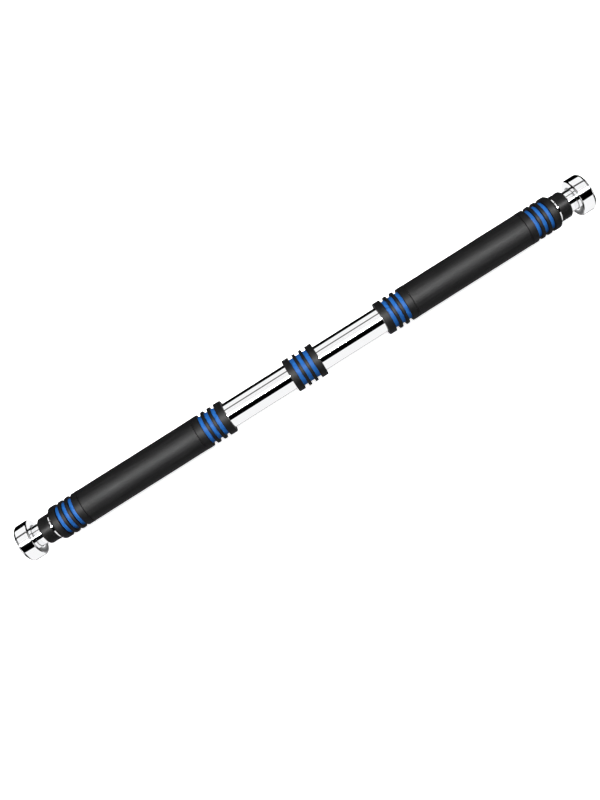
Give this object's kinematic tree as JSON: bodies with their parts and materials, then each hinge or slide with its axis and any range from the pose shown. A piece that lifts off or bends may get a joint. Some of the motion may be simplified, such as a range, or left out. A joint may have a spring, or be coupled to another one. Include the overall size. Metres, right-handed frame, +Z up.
{
  "type": "doorway pull-up bar",
  "caption": "Chrome pull-up bar for a doorway, with foam grips, ribbed blue and black collars and round feet that screw out to clamp between the jambs.",
  "frame": {"origin": "middle of the bar on its axis, in the middle of the middle collar", "axes": "+X along the bar towards the right foot, +Z up with the bar level as it hangs in a doorway, +Y away from the viewer"},
  "size_m": [0.682, 0.041, 0.041],
  "materials": {
    "chrome_plate": "bright chrome plate on drawn steel tube",
    "black_foam": "matte closed-cell foam",
    "black_rubber": "moulded black rubber, satin",
    "blue_silicone": "bright blue silicone, semi-gloss",
    "black_nylon": "moulded black nylon, fine texture",
    "natural_nylon": "natural nylon",
    "brass": "turned brass",
    "zinc_steel": "zinc-plated, lightly greased",
    "spring_steel": "blackened spring steel",
    "pad_rubber": "matte black rubber"
  },
  "bodies": {
    "bar": {"left_end_bush": "black_nylon", "left_foam_grip": "black_foam", "left_inner_collar_end_ring": "black_rubber", "left_inner_collar_foam_ring": "black_rubber", "left_inner_collar_liner": "blue_silicone", "left_inner_collar_rib_1": "black_rubber", "left_inner_collar_rib_2": "black_rubber", "left_outer_collar_end_ring": "black_rubber", "left_outer_collar_foam_ring": "black_rubber", "left_outer_collar_liner": "blue_silicone", "left_outer_collar_rib_1": "black_rubber", "left_outer_collar_rib_2": "black_rubber", "left_plug_pin": "spring_steel", "left_rod_plug": "zinc_steel", "left_stop_screw": "spring_steel", "left_stop_washer": "zinc_steel", "left_threaded_rod": "zinc_steel", "main_tube": "chrome_plate", "middle_collar_left_end_ring": "black_rubber", "middle_collar_liner": "blue_silicone", "middle_collar_rib_1": "black_rubber", "middle_collar_rib_2": "black_rubber", "middle_collar_right_end_ring": "black_rubber", "right_end_bush": "black_nylon", "right_foam_grip": "black_foam", "right_inner_collar_end_ring": "black_rubber", "right_inner_collar_foam_ring": "black_rubber", "right_inner_collar_liner": "blue_silicone", "right_inner_collar_rib_1": "black_rubber", "right_inner_collar_rib_2": "black_rubber", "right_outer_collar_end_ring": "black_rubber", "right_outer_collar_foam_ring": "black_rubber", "right_outer_collar_liner": "blue_silicone", "right_outer_collar_rib_1": "black_rubber", "right_outer_collar_rib_2": "black_rubber", "right_plug_pin": "spring_steel", "right_rod_plug": "zinc_steel", "right_stop_screw": "spring_steel", "right_stop_washer": "zinc_steel", "right_threaded_rod": "zinc_steel"},
    "left_glide": {"left_glide_ring": "natural_nylon"},
    "left_foot": {"left_inner_tube": "chrome_plate", "left_drive_nut": "brass", "left_snap_ring": "spring_steel", "left_foot_cup": "chrome_plate", "left_foot_pad": "pad_rubber"},
    "right_glide": {"right_glide_ring": "natural_nylon"},
    "right_foot": {"right_inner_tube": "chrome_plate", "right_drive_nut": "brass", "right_snap_ring": "spring_steel", "right_foot_cup": "chrome_plate", "right_foot_pad": "pad_rubber"}
  },
  "joints": [
    {"name": "left_foot_travel", "type": "slide", "parent": "bar", "child": "left_glide", "axis": [-1, 0, 0], "range_m": [-0.006, 0.1]},
    {"name": "left_foot_turn", "type": "hinge", "parent": "left_glide", "child": "left_foot", "pos_m": [-0.23, 0, 0], "axis": [1, 0, 0], "range_deg": [-540, 9000]},
    {"name": "right_foot_travel", "type": "slide", "parent": "bar", "child": "right_glide", "axis": [1, 0, 0], "range_m": [-0.006, 0.1]},
    {"name": "right_foot_turn", "type": "hinge", "parent": "right_glide", "child": "right_foot", "pos_m": [0.23, 0, 0], "axis": [1, 0, 0], "range_deg": [-540, 9000]}
  ],
  "couplings": [
    {"joint": "left_foot_travel", "follows": "left_foot_turn", "m_per_rad": 0.00063662},
    {"joint": "right_foot_travel", "follows": "right_foot_turn", "m_per_rad": 0.00063662}
  ]
}
